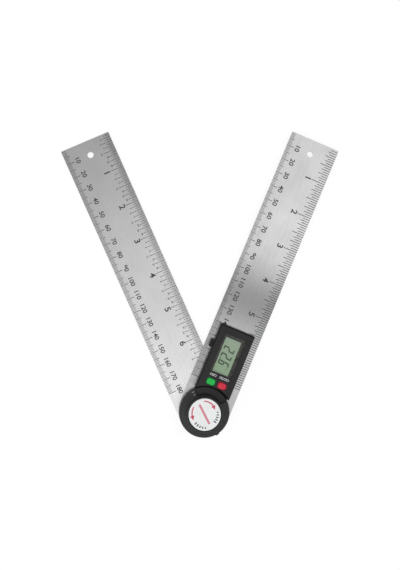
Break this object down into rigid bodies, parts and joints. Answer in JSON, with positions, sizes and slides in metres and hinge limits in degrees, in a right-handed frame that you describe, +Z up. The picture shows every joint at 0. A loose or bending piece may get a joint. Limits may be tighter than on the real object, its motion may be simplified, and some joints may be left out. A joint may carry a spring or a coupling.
{
  "type": "digital angle finder",
  "caption": "Ruler-armed digital angle finder: steel blades on a lockable pivot, with a display unit, push buttons, a lock knob and a sliding battery tray.",
  "frame": {"origin": "on the pivot axis, at the flat underside of the lower blade that lies on the work", "axes": "+Z up along the pivot axis, out of the lock knob; +Y halves the angle between the two blades and points from the pivot toward their tips; +X toward the upper blade, which carries the display"},
  "size_m": [0.1898, 0.2078, 0.0126],
  "materials": {
    "blade_steel": "brushed lengthwise",
    "turned_steel": "turned",
    "screw_steel": "plain",
    "spring_steel": "rolled",
    "washer_polymer": "smooth",
    "board_green": "solder mask",
    "resin_black": "glossy",
    "crystal_can": "bright",
    "switch_grey": "moulded",
    "contact_brass": "plated",
    "strip_rubber": "matt",
    "display_glass": "reflective grey-green",
    "gasket_foam": "matt",
    "window_clear": "clear",
    "housing_plastic": "fine texture",
    "knob_plastic": "fine texture",
    "tray_plastic": "fine texture",
    "insert_brass": "turned",
    "label_white": "printed film",
    "button_green": "satin",
    "button_red": "satin",
    "cell_steel": "satin"
  },
  "bodies": {
    "lower_arm": {"lower_blade": "blade_steel", "pivot_stud": "turned_steel", "pivot_screws": "screw_steel", "friction_washer": "washer_polymer", "encoder_rotor": "board_green", "wave_spring": "spring_steel", "retaining_ring": "spring_steel"},
    "upper_arm": {"upper_blade": "blade_steel", "housing_base": "housing_plastic", "collar_screws": "screw_steel", "housing_screws": "screw_steel", "main_board": "board_green", "controller_chip": "resin_black", "clock_crystal": "crystal_can", "key_switches": "switch_grey", "negative_contact": "contact_brass", "positive_contact": "contact_brass", "conductive_strip": "strip_rubber", "display_panel": "display_glass", "display_gasket": "gasket_foam", "display_window": "window_clear", "housing_cover": "housing_plastic", "pressure_washer": "spring_steel"},
    "knob": {"lock_knob": "knob_plastic", "knob_insert": "insert_brass", "knob_label": "label_white"},
    "hold_key": {"green_button": "button_green"},
    "zero_key": {"red_button": "button_red"},
    "tray": {"battery_tray": "tray_plastic", "coin_cell": "cell_steel"}
  },
  "joints": [
    {"name": "arm_pivot", "type": "hinge", "parent": "lower_arm", "child": "upper_arm", "pos_m": [0, 0, 0.0014], "axis": [0, 0, 1], "continuous": true},
    {"name": "knob_turn", "type": "hinge", "parent": "lower_arm", "child": "knob", "pos_m": [0, 0, 0.0048], "axis": [0, 0, 1], "range_deg": [0, 90]},
    {"name": "hold_press", "type": "slide", "parent": "upper_arm", "child": "hold_key", "axis": [0, 0, -1], "range_m": [0, 0.0004], "stiffness_N_per_m": 1500},
    {"name": "zero_press", "type": "slide", "parent": "upper_arm", "child": "zero_key", "axis": [0, 0, -1], "range_m": [0, 0.0004], "stiffness_N_per_m": 1500},
    {"name": "tray_slide", "type": "slide", "parent": "upper_arm", "child": "tray", "axis": [-0.9184, 0.3955, 0], "range_m": [0, 0.022]}
  ]
}
